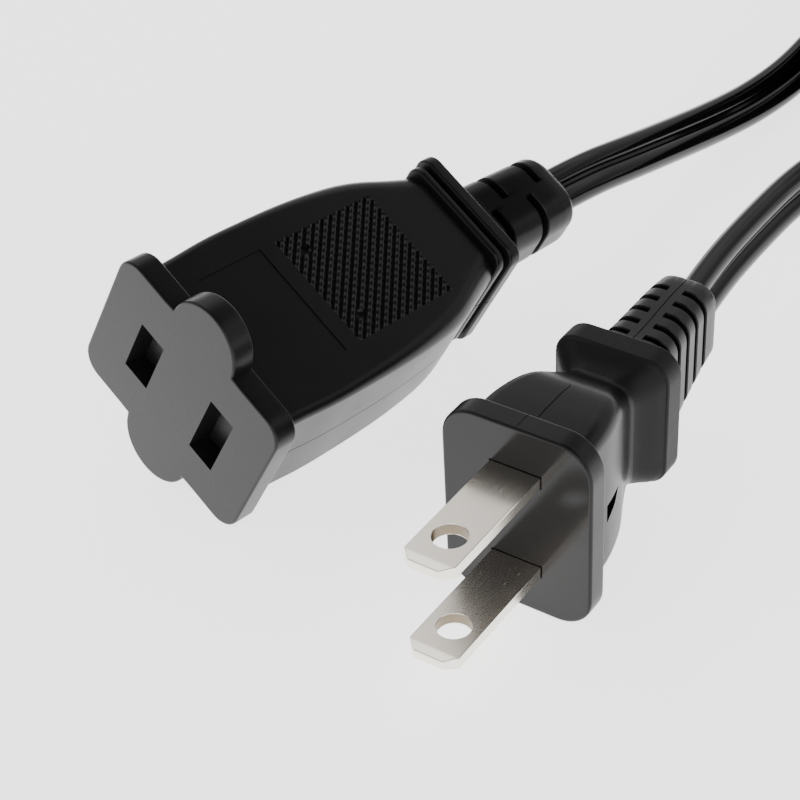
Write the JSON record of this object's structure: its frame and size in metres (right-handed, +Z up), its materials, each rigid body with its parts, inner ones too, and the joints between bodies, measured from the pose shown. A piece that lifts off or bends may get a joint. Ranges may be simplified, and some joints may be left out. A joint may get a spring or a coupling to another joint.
{
  "type": "type a plug extension lead",
  "caption": "Flat twin extension lead with a moulded two-blade type A plug on one end and a polarised type A socket on the other, its slack coiled.",
  "frame": {"origin": "middle of the plug's face, between the two blades", "axes": "blades point along -Y, stand one above the other along Z and are wide along X; +Z up"},
  "size_m": [0.1119, 0.2015, 0.0311],
  "materials": {
    "moulding": "semi-matt black moulded pvc",
    "insert": "black moulded block",
    "brass": "pale nickel-washed brass, lightly brushed",
    "contact": "spring brass",
    "wire": "insulated core with a bare stranded end",
    "cord": "glossy black flexible pvc"
  },
  "bodies": {
    "root": {"plug_body": "moulding", "plug_bridge": "insert", "blade_upper": "brass", "blade_lower": "brass", "plug_wire_upper": "wire", "plug_wire_lower": "wire", "plug_cord_end": "cord", "plug_cord_run": "cord", "cord_coil": "cord", "socket_cord_run": "cord", "socket_body": "moulding", "socket_insert": "insert", "contact_upper": "contact", "contact_lower": "contact", "socket_wire_upper": "wire", "socket_wire_lower": "wire", "socket_cord_end": "cord"}
  },
  "joints": []
}
